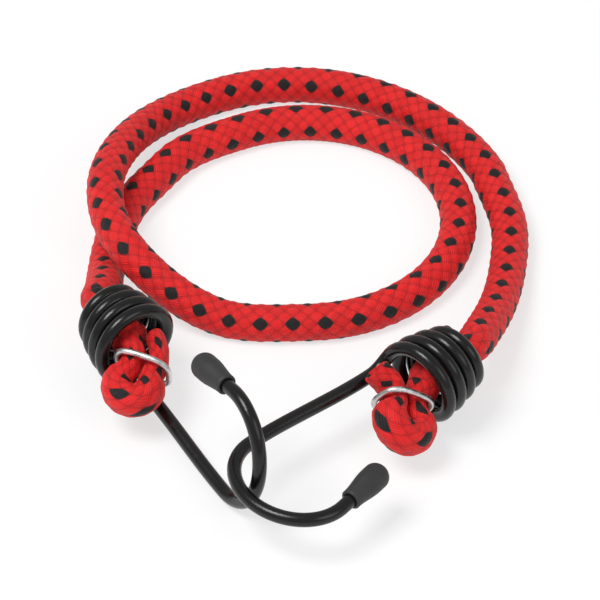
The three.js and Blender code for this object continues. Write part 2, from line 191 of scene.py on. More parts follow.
# Sizes that follow from these
CORD_RADIUS = CORD_DIAMETER / 2
BORE_RADIUS = CORD_RADIUS - SHEATH_WALL
STRAND_RADIUS = (BORE_RADIUS - STRAND_TO_SHEATH - STRAND_GAP) / 3
STRAND_RING_RADIUS = 2 * STRAND_RADIUS + STRAND_GAP
WIRE_RADIUS = WIRE_DIAMETER / 2
ENTRY_RADIUS = CORD_RADIUS * ENTRY_TIGHT + CORD_TO_WIRE + WIRE_RADIUS
COIL_LENGTH = COIL_TURNS * COIL_PITCH + WIRE_DIAMETER
REST_HEIGHT = CORD_RADIUS - REST_CUT
NECK_OFFSET = CORD_RADIUS * NECK_TIGHT * NECK_SQUEEZE + LEG_GAP / 2
UP = Vector((0, 0, 1))

# Points that the cord passes between each coil and the loop
LEFT_LEAD = [
    Vector((-45.6, -24.5, 8.0)),
    Vector((-45.6, -15.0, REST_HEIGHT + 0.7)),
    Vector((-44.6, -4.0, REST_HEIGHT)),
    Vector((-41.4, 8.0, REST_HEIGHT)),
]
RIGHT_LEAD = [
    Vector((39.6, 2.0, REST_HEIGHT)),
    Vector((39.0, -12.0, REST_HEIGHT + 0.4)),
    Vector((36.5, -26.0, 5.6)),
]


@dataclass
class HookEnd:
    """One end of the cord: its hook's place and direction, and how the cord folds there.

    lean and tail_turn are in degrees.
    braid_slip: cells that the braid has moved along inside the coil. braid_twist: share of a turn that it
    winds about the cord per millimetre. twist_from: distance from the cut end at which that turn is none."""
    name: str
    axis: Vector
    bend: Vector
    lean: float
    knot: Vector
    fold_side: Vector
    fold_fill: float
    fold_reach: float
    tail_turn: float
    tail_radius: float
    tail_length: float
    tail_tight: float
    braid_slip: float
    braid_twist: float
    twist_from: float

    @property
    def mouth(self):
        return self.bend - self.axis * SHANK_LENGTH

    @property
    def root(self):
        return self.mouth + self.axis * KNOT_START

    @property
    def side(self):
        return (self.fold_side - self.knot * self.fold_side.dot(self.knot)).normalized()

    @property
    def body(self):
        return self.name + "_hook_body"


LEFT = HookEnd(
    name="left",
    axis=Vector((0.53, -0.848, 0)).normalized(),
    bend=Vector((-18.3, -77.6, SHANK_OFFSET + WIRE_RADIUS + GROUND_GAP)),
    lean=-7,
    knot=Vector((-0.37, -0.92, -0.24)).normalized(),
    fold_side=Vector((1, 0, 0)),
    fold_fill=LEFT_FOLD_FILL,
    fold_reach=3.8,
    tail_turn=-42,
    tail_radius=8.4,
    tail_length=1.2,
    tail_tight=0.84,
    braid_slip=-0.75,
    braid_twist=-0.02,
    twist_from=15.5,
)
RIGHT = HookEnd(
    name="right",
    axis=Vector((-0.717, -0.697, 0)).normalized(),
    bend=Vector((-7.16, -82.43, 11.6)),
    lean=-91.5,
    knot=Vector((0.06, -0.96, -0.27)).normalized(),
    fold_side=Vector((-0.78, 0, 0.63)),
    fold_fill=RIGHT_FOLD_FILL,
    fold_reach=3.2,
    tail_turn=58,
    tail_radius=CORD_RADIUS * TAIL_SQUEEZE + RIGHT_TAIL_SPARE,
    tail_length=2.6,
    tail_tight=0.88,
    braid_slip=0.55,
    braid_twist=0.02,
    twist_from=18.0,
)


@dataclass
class Station:
    """A point of the cord's centre line, how its section is squeezed there, and its section's axes."""
    point: Vector
    squeeze: float = 1.0
    tight: float = 1.0
    normal: Vector = None
    tangent: Vector = None
    up: Vector = None
    across: Vector = None
    distance: float = 0.0


def smooth(low, high, value):
    """Rises from 0 at low to 1 at high, level at both."""
    t = min(1.0, max(0.0, (value - low) / (high - low)))
    return t * t * (3 - 2 * t)


def hermite(start, end, leaving, arriving, t):
    """Point of a cubic from start to end with these derivatives."""
    a = 2 * t**3 - 3 * t**2 + 1
    b = t**3 - 2 * t**2 + t
    c = 3 * t**2 - 2 * t**3
    d = t**3 - t**2
    return start * a + leaving * b + end * c + arriving * d


def curve_through(points, step):
    """Centripetal curve through the points, as points about a step apart."""
    ends = [2 * points[0] - points[1], *points, 2 * points[-1] - points[-2]]
    line = []
    for p0, p1, p2, p3 in zip(ends, ends[1:], ends[2:], ends[3:]):
        before = math.sqrt((p1 - p0).length)
        here = math.sqrt((p2 - p1).length)
        after = math.sqrt((p3 - p2).length)
        leaving = ((p1 - p0) / before - (p2 - p0) / (before + here) + (p2 - p1) / here) * here
        arriving = ((p2 - p1) / here - (p3 - p1) / (here + after) + (p3 - p2) / after) * here
        count = max(1, round((p2 - p1).length / step))
        for i in range(count):
            line.append(hermite(p1, p2, leaving, arriving, i / count))
    line.append(points[-1].copy())
    return line


def folded_end(end):
    """Stations from the coil's entry out through its mouth, round the fold and back to the tail."""
    side = end.side
    normal = side.cross(end.knot)
    back = -end.knot
    near = RING_CENTRE - NECK_LENGTH / 2
    far = RING_CENTRE + NECK_LENGTH / 2
    stations = []

    def add(point, squeeze, tight, tangent=None, fill=LEG_FILL):
        stations.append(Station(point, min(1.0, squeeze * fill), tight, normal, tangent))

    def place(distance, offset):
        return end.root + end.knot * distance + side * offset

    add(end.mouth - end.axis * (COIL_LENGTH + ENTRY_RUN), 1.0, ENTRY_TIGHT)
    add(end.mouth - end.axis * (COIL_LENGTH - WIRE_DIAMETER), 1.0, ENTRY_TIGHT)
    add(end.mouth - end.axis * SPREAD_INSET, 1.0, 1.0)
    add(end.mouth - end.axis * LIP_INSET - side * NECK_OFFSET * MOUTH_SHARE, MOUTH_SQUEEZE, 1.0)
    add(place(near, -NECK_OFFSET), NECK_SQUEEZE, NECK_TIGHT, end.knot)
    add(place(far, -NECK_OFFSET), NECK_SQUEEZE, NECK_TIGHT, end.knot)
    fold_radius = CORD_RADIUS * FOLD_SQUEEZE * end.fold_fill + FOLD_CLEARANCE
    for i in range(FOLD_STEPS + 1):
        angle = math.pi * i / FOLD_STEPS
        tangent = end.knot * math.cos(angle) + side * math.sin(angle)
        reach = far + end.fold_reach + fold_radius * math.sin(angle)
        offset = -fold_radius * math.cos(angle)
        add(place(reach, offset), FOLD_SQUEEZE, 1.0, tangent, end.fold_fill)
    add(place(far, NECK_OFFSET), NECK_SQUEEZE, NECK_TIGHT, back)
    add(place(near, NECK_OFFSET), NECK_SQUEEZE, NECK_TIGHT, back)
    bulge = math.copysign(end.tail_radius, end.tail_turn)
    for share in (0.5, 1.0):
        angle = math.radians(end.tail_turn) * share
        heading = back * math.cos(angle) + side * math.sin(angle)
        distance = near - bulge * math.sin(angle)
        offset = NECK_OFFSET + bulge * (1 - math.cos(angle))
        add(place(distance, offset), TAIL_SQUEEZE, end.tail_tight, heading, 1.0)
    last = stations[-1].point + heading * end.tail_length
    add(last, TAIL_SQUEEZE, end.tail_tight, heading, 1.0)
    return stations


def loop_point(degrees):
    """One turn at the inner radius, then over the first strand and round outside it."""
    turns = (LOOP_START_DEG - degrees) / 360
    radius = INNER_RADIUS + START_SPREAD * (1 - smooth(*SETTLE_TURNS, turns))
    radius += (CROSSING_RADIUS - INNER_RADIUS) * smooth(*WIDEN_TURNS, turns)
    radius += (OUTER_RADIUS - CROSSING_RADIUS) * smooth(*OUTER_TURNS, turns)
    radius -= END_SHRINK * smooth(*SHRINK_TURNS, turns)
    lift = smooth(*CLIMB_TURNS, turns) * (1 - smooth(*DESCENT_TURNS, turns))
    angle = math.radians(degrees)
    return Vector((
        LOOP_CENTRE[0] + radius * math.cos(angle),
        LOOP_CENTRE[1] + radius * math.sin(angle),
        REST_HEIGHT + lift * (CORD_DIAMETER + CROSSING_GAP),
    ))


def whole_route():
    """Stations from tail to tail, and which of them start the free run, end it and start the loop."""
    left = folded_end(LEFT)[::-1]
    for station in left:
        if station.tangent is not None:
            station.tangent = -station.tangent
    right = folded_end(RIGHT)
    loop = []
    for i in range(LOOP_STEPS + 1):
        loop.append(loop_point(LOOP_START_DEG + (LOOP_END_DEG - LOOP_START_DEG) * i / LOOP_STEPS))
    left_run = curve_through([left[-1].point, *LEFT_LEAD, loop[0]], RUN_STEP)[1:-1]
    right_run = curve_through([loop[-1], *RIGHT_LEAD, right[0].point], RUN_STEP)[1:-1]
    free = [Station(point) for point in (*left_run, *loop, *right_run)]
    return left + free + right, len(left) - 1, len(left) + len(free), len(left) + len(left_run)


def fine_route(stations, step):
    """The same line in samples about a step apart, with twist-free section axes set upright mid-way."""
    count = len(stations)
    for i, station in enumerate(stations):
        if station.tangent is None:
            before = stations[max(0, i - 1)].point
            after = stations[min(count - 1, i + 1)].point
            station.tangent = (after - before).normalized()
    samples = []
    starts = []
    for here, following in zip(stations, stations[1:]):
        chord = (following.point - here.point).length
        steps = max(2, round(chord / step))
        starts.append(len(samples))
        for i in range(steps):
            t = i / steps
            samples.append(Station(
                hermite(here.point, following.point, here.tangent * chord, following.tangent * chord, t),
                here.squeeze + (following.squeeze - here.squeeze) * smooth(0, 1, t),
                here.tight + (following.tight - here.tight) * smooth(0, 1, t),
                here.normal if here.normal is not None else following.normal,
            ))
    last = stations[-1]
    starts.append(len(samples))
    samples.append(Station(last.point, last.squeeze, last.tight, last.normal))
    for sample in samples:
        sample.point = sample.point + CENTRING
    for i, sample in enumerate(samples):
        before = samples[max(0, i - 1)]
        after = samples[min(len(samples) - 1, i + 1)]
        sample.tangent = (after.point - before.point).normalized()
        if i > 0:
            sample.distance = before.distance + (sample.point - before.point).length
    middle = len(samples) // 2
    settle(samples[middle], UP)
    for i in range(middle + 1, len(samples)):
        settle(samples[i], samples[i - 1].up)
    for i in range(middle - 1, -1, -1):
        settle(samples[i], samples[i + 1].up)
    return samples, starts


def settle(sample, up):
    """Section axes square to the tangent, as near to the given upward one as that allows."""
    sample.up = (up - sample.tangent * up.dot(sample.tangent)).normalized()
    sample.across = sample.tangent.cross(sample.up)


def section_point(sample, up, across):
    """A point of the cord's section, squeezed as the section is and kept above the ground."""
    offset = (sample.up * up + sample.across * across) * sample.tight
    if sample.normal is not None:
        pinch = sample.normal.cross(sample.tangent).normalized()
        offset = offset - pinch * (1 - sample.squeeze) * offset.dot(pinch)
    point = sample.point + offset
    point.z = max(point.z, 0.0)
    return point


# Mesh making

def new_object(name, vertices, faces, corner_uvs=None):
    """A smooth-shaded mesh object from points in millimetres."""
    mesh = bpy.data.meshes.new(name)
    mesh.from_pydata([tuple(v * MM) for v in vertices], [], faces)
    if corner_uvs is not None:
        layer = mesh.uv_layers.new(name="UVMap")
        layer.data.foreach_set("uv", [value for uv in corner_uvs for value in uv])
    mesh.validate()
    mesh.polygons.foreach_set("use_smooth", [True] * len(mesh.polygons))
    mesh.update()
    piece = bpy.data.objects.new(name, mesh)
    bpy.context.collection.objects.link(piece)
    return piece


def skin(rings, uvs=None):
    """Vertices, faces and corner UVs of a tube through the rings, closed by a face at each end.

    uvs gives each ring's distance along and its turn about the tube."""
    count = len(rings[0])
    vertices = [point for ring in rings for point in ring]
    faces = []
    corners = []
    for i in range(len(rings) - 1):
        for j in range(count):
            k = (j + 1) % count
            faces.append((i * count + j, i * count + k, (i + 1) * count + k, (i + 1) * count + j))
            if uvs is not None:
                for row, column in ((i, j), (i, j + 1), (i + 1, j + 1), (i + 1, j)):
                    corners.append((column / count - uvs[row][1], uvs[row][0]))
    last = (len(rings) - 1) * count
    faces.append(tuple(range(count - 1, -1, -1)))
    faces.append(tuple(range(last, last + count)))
    if uvs is not None:
        corners.extend([(j / count - uvs[0][1], uvs[0][0]) for j in range(count - 1, -1, -1)])
        corners.extend([(j / count - uvs[-1][1], uvs[-1][0]) for j in range(count)])
    return vertices, faces, corners if uvs is not None else None


def swept(name, line, radius, sides, rounding):
    """A round bar along a line of points, its ends rounded off."""
    rings = []
    count = len(line)
    up = None
    rounded = [(rounding * (1 - math.cos(a)), rounding * (1 - math.sin(a))) for a in ROUND_ANGLES]
    for i, point in enumerate(line):
        tangent = (line[min(count - 1, i + 1)] - line[max(0, i - 1)]).normalized()
        if up is None:
            up = tangent.orthogonal()
        up = (up - tangent * up.dot(tangent)).normalized()
        across = tangent.cross(up)
        places = [(0.0, 0.0)]
        if i == 0:
            places = rounded
        if i == count - 1:
            places = [(-forward, shrink) for forward, shrink in reversed(rounded)]
        for forward, shrink in places:
            ring = []
            for j in range(sides):
                angle = 2 * math.pi * j / sides
                spoke = up * math.cos(angle) + across * math.sin(angle)
                ring.append(point + tangent * forward + spoke * (radius - shrink))
            rings.append(ring)
    return new_object(name, *skin(rings)[:2])


def turned(name, profile, sides, place):
    """A solid of revolution about Z from (radius, height) pairs that start and end on the axis."""
    rings = []
    for radius, height in profile[1:-1]:
        ring = []
        for j in range(sides):
            angle = 2 * math.pi * j / sides
            ring.append(place @ Vector((radius * math.cos(angle), radius * math.sin(angle), height)))
        rings.append(ring)
    vertices = [point for ring in rings for point in ring]
    faces = []
    for i in range(len(rings) - 1):
        for j in range(sides):
            k = (j + 1) % sides
            faces.append((i * sides + j, i * sides + k, (i + 1) * sides + k, (i + 1) * sides + j))
    for end, row, flip in ((profile[0], 0, True), (profile[-1], len(rings) - 1, False)):
        tip = len(vertices)
        vertices.append(place @ Vector((0, 0, end[1])))
        for j in range(sides):
            here = row * sides + j
            following = row * sides + (j + 1) % sides
            faces.append((following, here, tip) if flip else (here, following, tip))
    return new_object(name, vertices, faces)


# Cord: outer sheath in three pieces and the strands in it

def braid_height(around, along):
    """Height of the braid at a place in braid cells, from -1 in the gaps to 1 on the pillows."""
    return math.cos(2 * math.pi * around) * math.cos(2 * math.pi * along)


def past_entries(sample):
    """Each end, how far a sample is into its coil from 0 to 1, and the sample's distance from its cut."""
    in_left = smooth(0, COIL_LENGTH, left_entry - sample.distance)
    in_right = smooth(0, COIL_LENGTH, sample.distance - right_entry)
    return (LEFT, in_left, sample.distance), (RIGHT, in_right, route[-1].distance - sample.distance)


def twist(sample):
    """How far the braid has turned about the cord there, as a share of a full turn."""
    gone = sample.distance - loop_start
    turn = TWIST_SHARE * (smooth(*FIRST_TWIST, gone) + smooth(*SECOND_TWIST, gone))
    for end, inside, from_cut in past_entries(sample):
        turn += end.braid_twist * inside * (from_cut - end.twist_from)
    return turn


def braid_row(sample):
    """Place along the cord in braid cells, with the slip past each coil's entry."""
    row = (sample.distance - loop_start) / BRAID_CELL + FIRST_ROW
    for end, inside, from_cut in past_entries(sample):
        row += end.braid_slip * inside
    return row


def sheath_ring(sample):
    """A ring of the sheath's outside, with the braid's pillows."""
    ring = []
    turn = twist(sample)
    row = braid_row(sample)
    for j in range(SHEATH_SIDES):
        share = j / SHEATH_SIDES
        height = braid_height((share - turn) * BRAID_YARNS, row)
        radius = CORD_RADIUS - BRAID_RELIEF + BRAID_RELIEF * height
        angle = 2 * math.pi * share
        ring.append(section_point(sample, radius * math.cos(angle), radius * math.sin(angle)))
    return ring


def plain_ring(sample, radius, forward):
    """A ring without relief, moved along the cord by a distance."""
    ring = []
    for j in range(SHEATH_SIDES):
        angle = 2 * math.pi * j / SHEATH_SIDES
        point = section_point(sample, radius * math.cos(angle), radius * math.sin(angle))
        ring.append(point + sample.tangent * forward)
    return ring


def sheath_piece(name, samples, cut_start, cut_end):
    """A stretch of sheath. A cut end is a rounded rim with the strands' hole sunk in it."""
    rings = [sheath_ring(sample) for sample in samples]
    along = [(braid_row(sample) / BRAID_YARNS, twist(sample)) for sample in samples]
    rim = [
        (CORD_RADIUS - RIM_INSET, RIM_OUT_EDGE),
        (CORD_RADIUS - SHEATH_WALL / 2, RIM_OUT_MIDDLE),
        (BORE_RADIUS, RIM_OUT_BORE),
        (BORE_RADIUS, -RIM_HOLE_DEPTH),
    ]
    if cut_start:
        for radius, out in rim:
            rings.insert(0, plain_ring(samples[0], radius, -out))
            along.insert(0, along[0])
    if cut_end:
        for radius, out in rim:
            rings.append(plain_ring(samples[-1], radius, out))
            along.append(along[-1])
    return new_object(name, *skin(rings, along))


stations, first_free, last_free, first_loop = whole_route()
route, starts = fine_route(stations, SHEATH_STEP)
entry = starts[first_free]
leave = starts[last_free]
loop_start = route[starts[first_loop]].distance
left_entry = route[entry].distance
right_entry = route[leave].distance
loop_piece = sheath_piece("sheath_loop", route[entry:leave + 1], False, False)
left_piece = sheath_piece("sheath_left_end", route[:entry + 1], True, False)
right_piece = sheath_piece("sheath_right_end", route[leave:], False, True)

strand_pieces = []
strand_places = [("strand_core", 0.0, 0.0)]
for i in range(RING_STRANDS):
    angle = 2 * math.pi * i / RING_STRANDS
    strand_places.append((
        "strand_" + str(i + 1),
        STRAND_RING_RADIUS * math.cos(angle),
        STRAND_RING_RADIUS * math.sin(angle),
    ))
for node, up, across in strand_places:
    line = [section_point(sample, up, across) for sample in route[::STRAND_EVERY]]
    piece = swept("rubber_" + node, line, STRAND_RADIUS * STRAND_SHARE, STRAND_SIDES, STRAND_ROUNDING)
    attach(piece, "cord")
    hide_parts(node)
    strand_pieces.append(piece)


# Hooks

def hook_line():
    """The wire's centre line in the coil's frame: past the mouth, towards the shank, across."""
    points = []
    coil_end = -WIRE_RADIUS
    coil_start = coil_end - COIL_TURNS * COIL_PITCH
    end_angle = -FILLET_RADIUS / MOUTH_RADIUS
    steps = COIL_TURNS * STEPS_PER_COIL_TURN
    for i in range(steps + 1):
        t = i / steps
        angle = end_angle - 2 * math.pi * COIL_TURNS * (1 - t)
        radius = ENTRY_RADIUS + (MOUTH_RADIUS - ENTRY_RADIUS) * math.sin(math.pi / 2 * t)
        distance = coil_start + (coil_end - coil_start) * t
        points.append(Vector((distance, radius * math.cos(angle), radius * math.sin(angle))))
    for i in range(1, FILLET_STEPS + 1):
        turn = math.pi / 2 * i / FILLET_STEPS
        angle = (FILLET_RADIUS * math.sin(turn) - FILLET_RADIUS) / MOUTH_RADIUS
        distance = coil_end + FILLET_RADIUS * (1 - math.cos(turn))
        points.append(Vector((distance, MOUTH_RADIUS * math.cos(angle), MOUTH_RADIUS * math.sin(angle))))
    shank_start = points[-1]
    shank_end = Vector((SHANK_LENGTH, SHANK_OFFSET, 0))
    leaving = Vector(((shank_end - shank_start).length, 0, 0))
    for i in range(1, SHANK_STEPS):
        points.append(hermite(shank_start, shank_end, leaving, leaving, i / SHANK_STEPS))
    flare = math.radians(LEG_FLARE_DEG)
    bend_end = math.pi - flare
    bend_middle = SHANK_OFFSET - BEND_RADIUS
    for i in range(BEND_STEPS + 1):
        angle = bend_end * i / BEND_STEPS
        points.append(Vector((
            SHANK_LENGTH + BEND_REACH * math.sin(angle),
            bend_middle + BEND_RADIUS * math.cos(angle),
            0,
        )))
    heading = Vector((-math.cos(flare), -math.sin(flare), 0))
    leg_start = points[-1]
    for i in range(1, LEG_STEPS + 1):
        points.append(leg_start + heading * (LEG_LENGTH - CAP_WALL_END) * i / LEG_STEPS)
    return points, heading


def hook_frame(end):
    """Matrix from the coil's frame to the part's frame."""
    turn = Matrix.Rotation(math.radians(end.lean), 3, end.axis)
    shank_side = turn @ -UP
    across = end.axis.cross(shank_side)
    matrix = Matrix((end.axis, shank_side, across)).transposed().to_4x4()
    matrix.translation = end.mouth + CENTRING
    return matrix


def cap_profile():
    """The dipped tip's outline from the bottom of its bore, round its rim and up to its end."""
    full = CAP_DIAMETER / 2
    neck = CAP_NECK_DIAMETER / 2
    bore = WIRE_RADIUS + CAP_BORE_GAP
    profile = [
        (0, CAP_BORE_DEPTH),
        (bore, CAP_BORE_DEPTH),
        (bore, CAP_BORE_BEVEL),
        (bore + CAP_BORE_BEVEL, 0.0),
        (neck - CAP_RIM_INSET, 0.0),
        (neck, CAP_RIM_HEIGHT),
    ]
    flare_length = CAP_LENGTH * CAP_FULL_SHARE - CAP_RIM_HEIGHT
    for i in range(1, CAP_STEPS + 1):
        t = i / CAP_STEPS
        profile.append((neck + (full - neck) * smooth(*CAP_FLARE, t), CAP_RIM_HEIGHT + flare_length * t))
    round_length = full * CAP_ROUND_SHARE
    for i in range(CAP_STEPS + 1):
        angle = math.pi / 2 * i / CAP_STEPS
        profile.append((full * math.cos(angle), CAP_LENGTH - round_length + round_length * math.sin(angle)))
    profile[-1] = (0, CAP_LENGTH)
    return profile


def make_hook(end):
    """One hook's wire and the dipped tip on it."""
    place = hook_frame(end)
    line, heading = hook_line()
    placed = [place @ point for point in line]
    wire = swept(end.name + "_hook_wire", placed, WIRE_RADIUS, WIRE_SIDES, WIRE_ROUNDING)
    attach(wire, end.body)
    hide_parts(end.name + "_hook")
    base = line[-1] + heading * (CAP_WALL_END - CAP_LENGTH)
    stand = Matrix.Translation(base) @ heading.to_track_quat("Z", "X").to_matrix().to_4x4()
    cap = turned(end.name + "_tip_cap", cap_profile(), CAP_SIDES, place @ stand)
    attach(cap, end.body)
    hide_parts(end.name + "_tip")
    return wire, cap


# Clips

def make_clip(end):
    """A steel wire ring bent round both legs of the fold, its two ends meeting at a slit underneath."""
    wire = RING_WIRE_DIAMETER / 2
    wide = NECK_OFFSET + CORD_RADIUS * NECK_TIGHT * NECK_SQUEEZE + RING_CLEARANCE + wire
    high = CORD_RADIUS * NECK_TIGHT + RING_CLEARANCE + wire
    slit = (RING_SLIT / 2 / wide) ** (1 / RING_CORNER)
    normal = end.knot.cross(end.side)
    slit_place = math.pi if normal.z > 0 else 0.0
    middle = end.root + CENTRING + end.knot * RING_CENTRE
    line = []
    for i in range(RING_STEPS + 1):
        angle = slit_place + slit + (2 * math.pi - 2 * slit) * i / RING_STEPS
        x = wide * math.copysign(abs(math.sin(angle)) ** RING_CORNER, math.sin(angle))
        y = high * math.copysign(abs(math.cos(angle)) ** RING_CORNER, math.cos(angle))
        line.append(middle + end.side * x + normal * y)
    clip = swept(end.name + "_clip_ring", line, wire, RING_SIDES, RING_ROUNDING)
    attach(clip, "cord")
    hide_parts(end.name + "_clip")
    return clip


hooks = [make_hook(end) for end in (LEFT, RIGHT)]
clips = [make_clip(end) for end in (LEFT, RIGHT)]

for piece in (loop_piece, left_piece, right_piece):
    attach(piece, "cord")
    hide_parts("sheath")


# Materials

class Graph:
    """Short calls for building one material's nodes."""

    def __init__(self, name):
        self.material = bpy.data.materials.new(name)
        self.material.use_nodes = True
        self.nodes = self.material.node_tree.nodes
        self.links = self.material.node_tree.links
        self.shader = self.nodes["Principled BSDF"]

    def feed(self, value, socket):
        """Links another node's output to a socket, or sets a plain value on it."""
        if isinstance(value, bpy.types.NodeSocket):
            self.links.new(value, socket)
        else:
            socket.default_value = value

    def surface(self, name, value):
        """Feeds one of the shader's own sockets."""
        self.feed(value, self.shader.inputs[name])

    def math(self, operation, *values):
        node = self.nodes.new("ShaderNodeMath")
        node.operation = operation
        for value, socket in zip(values, node.inputs):
            self.feed(value, socket)
        return node.outputs[0]

    def noise(self, vector, scale, detail=3.0, roughness=0.55):
        node = self.nodes.new("ShaderNodeTexNoise")
        self.links.new(vector, node.inputs["Vector"])
        node.inputs["Scale"].default_value = scale
        node.inputs["Detail"].default_value = detail
        node.inputs["Roughness"].default_value = roughness
        return node.outputs["Fac"]

    def span(self, value, source, target):
        """Maps one range onto another, held at the ends."""
        node = self.nodes.new("ShaderNodeMapRange")
        self.feed(value, node.inputs["Value"])
        node.inputs["From Min"].default_value = source[0]
        node.inputs["From Max"].default_value = source[1]
        node.inputs["To Min"].default_value = target[0]
        node.inputs["To Max"].default_value = target[1]
        return node.outputs["Result"]

    def mix(self, factor, first, second):
        """Blends two colours. Inputs 6 and 7 and output 2 are the node's colour sockets."""
        node = self.nodes.new("ShaderNodeMix")
        node.data_type = "RGBA"
        self.feed(factor, node.inputs[0])
        self.feed(first, node.inputs[6])
        self.feed(second, node.inputs[7])
        return node.outputs[2]

    def wrap(self, value, shift, period):
        """Distance from the nearest of the places shift + any whole number of periods."""
        moved = self.math("SUBTRACT", value, shift)
        return self.math("ABSOLUTE", self.math("WRAP", moved, period / 2, -period / 2))

    def scatter(self, value, seed):
        """A fixed random number for each whole step of a value."""
        node = self.nodes.new("ShaderNodeTexWhiteNoise")
        node.noise_dimensions = "2D"
        place = self.nodes.new("ShaderNodeCombineXYZ")
        self.links.new(self.math("FLOOR", value), place.inputs["X"])
        place.inputs["Y"].default_value = seed
        self.links.new(place.outputs[0], node.inputs["Vector"])
        return node.outputs["Value"]

    def bump(self, height, distance):
        """Bumps the surface by a height times a distance in metres."""
        node = self.nodes.new("ShaderNodeBump")
        self.links.new(height, node.inputs["Height"])
        node.inputs["Distance"].default_value = distance
        self.surface("Normal", node.outputs["Normal"])

    def position(self):
        return self.nodes.new("ShaderNodeTexCoord").outputs["Object"]


def give(pieces, material):
    """Puts one material on all the pieces."""
    for piece in pieces:
        piece.data.materials.clear()
        piece.data.materials.append(material)


def grey(value):
    return (value, value, value, 1.0)


RED_BRIGHT = (0.87, 0.016, 0.017, 1.0)
RED_DULL = (0.67, 0.011, 0.012, 1.0)
# Dark red used as painted shade in the braid's grooves, gaps and seams
RED_PAINTED_SHADE = (0.26, 0.004, 0.005, 1.0)
TRACER_BLACK = (0.010, 0.008, 0.008, 1.0)
LATEX_DARK = (0.55, 0.42, 0.26, 1.0)
LATEX_PALE = (0.74, 0.64, 0.48, 1.0)
WIRE_BLACK = grey(0.006)
WIRE_RUBBED = grey(0.028)
VINYL_DARK = grey(0.02)
VINYL_PALE = grey(0.03)
STEEL_DULL = grey(0.55)
STEEL_BRIGHT = grey(0.78)
FLOOR_PALE = grey(0.94)

# Most of a noise's values lie in this range
NOISE_RANGE = (0.3, 0.7)
WHOLE_RANGE = (0.0, 1.0)

# In braid cells: a tracer edge's fray and blend, the width of a seam's painted shade, and the yarns' blend
# at a seam
TRACER_FRAY = 0.09
TRACER_BLEND = 0.08
SEAM_WIDTH = 0.14
SEAM_BLEND = 0.03

# How strongly painted shade darkens the red in the grooves between filaments, the gaps between pillows and
# along the seams
STREAK_SHADE = 0.22
GAP_SHADE = 0.35
SEAM_SHADE = 0.34


def sheath_material():
    """Red braid with black tracer diamonds and painted shade, its filaments running along whichever yarn
    lies on top.
    """
    g = Graph("woven_sheath")
    source = g.nodes.new("ShaderNodeUVMap")
    source.uv_map = "UVMap"
    split = g.nodes.new("ShaderNodeSeparateXYZ")
    g.links.new(source.outputs["UV"], split.inputs[0])
    around = g.math("MULTIPLY", split.outputs["X"], BRAID_YARNS)
    along = g.math("MULTIPLY", split.outputs["Y"], BRAID_YARNS)
    fuzz = g.noise(g.position(), scale=2600, detail=4.0, roughness=0.7)

    def tracer(shift_around, shift_along):
        """Distance from the nearest of one set of tracers, which makes them rounded diamonds."""
        x = g.wrap(around, shift_around, TRACER_AROUND)
        y = g.wrap(along, shift_along, TRACER_ALONG)
        square = g.math("ADD", g.math("MULTIPLY", x, x), g.math("MULTIPLY", y, y))
        return g.math("ADD", g.math("ADD", x, y), g.math("SQRT", square))

    nearest = g.math("MINIMUM", tracer(0, 0), tracer(TRACER_AROUND / 2, TRACER_ALONG / 2))
    ragged = g.math("ADD", nearest, g.span(fuzz, (0.25, 0.75), (-TRACER_FRAY, TRACER_FRAY)))
    black = g.span(ragged, (TRACER_SIZE - TRACER_BLEND, TRACER_SIZE + TRACER_BLEND), (1.0, 0.0))

    reach = g.math("ADD", g.wrap(around, 0, 1), g.wrap(along, 0, 1))
    first_on_top = g.span(reach, (0.5 - SEAM_BLEND, 0.5 + SEAM_BLEND), (1.0, 0.0))
    falling = g.math("SUBTRACT", around, along)
    rising = g.math("ADD", around, along)

    def on_top(first, second):
        """The first value where one set of yarns lies on top, and the second where the other set does."""
        kept = g.math("MULTIPLY", first, first_on_top)
        other = g.math("MULTIPLY", second, g.math("SUBTRACT", 1.0, first_on_top))
        return g.math("ADD", kept, other)

    tone = on_top(g.scatter(g.math("ADD", falling, 0.5), seed=3.0), g.scatter(rising, seed=8.0))
    turns = 2 * math.pi * FILAMENTS
    streak = on_top(
        g.math("SINE", g.math("MULTIPLY", falling, turns)),
        g.math("SINE", g.math("MULTIPLY", rising, turns)),
    )
    pillow = g.math(
        "MULTIPLY",
        g.math("COSINE", g.math("MULTIPLY", around, 2 * math.pi)),
        g.math("COSINE", g.math("MULTIPLY", along, 2 * math.pi)),
    )
    yarn = g.mix(g.span(g.math("ADD", tone, fuzz), (0.3, 1.7), WHOLE_RANGE), RED_DULL, RED_BRIGHT)
    # Painted shade: the red darkens in the grooves between filaments
    groove_shaded = g.mix(g.span(streak, (-1.0, -0.2), (STREAK_SHADE, 0.0)), yarn, RED_PAINTED_SHADE)
    # Painted shade: the red darkens in the gaps between pillows
    shaded = g.mix(g.span(pillow, (-1.0, 0.1), (GAP_SHADE, 0.0)), groove_shaded, RED_PAINTED_SHADE)
    # Painted shade: the red darkens along the seams between yarns
    from_seam = g.math("ABSOLUTE", g.math("SUBTRACT", reach, 0.5))
    seam_shaded = g.mix(g.span(from_seam, (0.0, SEAM_WIDTH), (SEAM_SHADE, 0.0)), shaded, RED_PAINTED_SHADE)
    g.surface("Base Color", g.mix(black, seam_shaded, TRACER_BLACK))
    g.surface("Roughness", g.span(fuzz, NOISE_RANGE, (0.48, 0.7)))
    g.surface("Specular IOR Level", 0.3)
    g.surface("Sheen Weight", 0.06)
    g.surface("Sheen Roughness", 0.4)
    g.bump(g.math("ADD", streak, g.span(fuzz, (0.2, 0.8), (-0.8, 0.8))), 0.04 * MM)
    return g.material


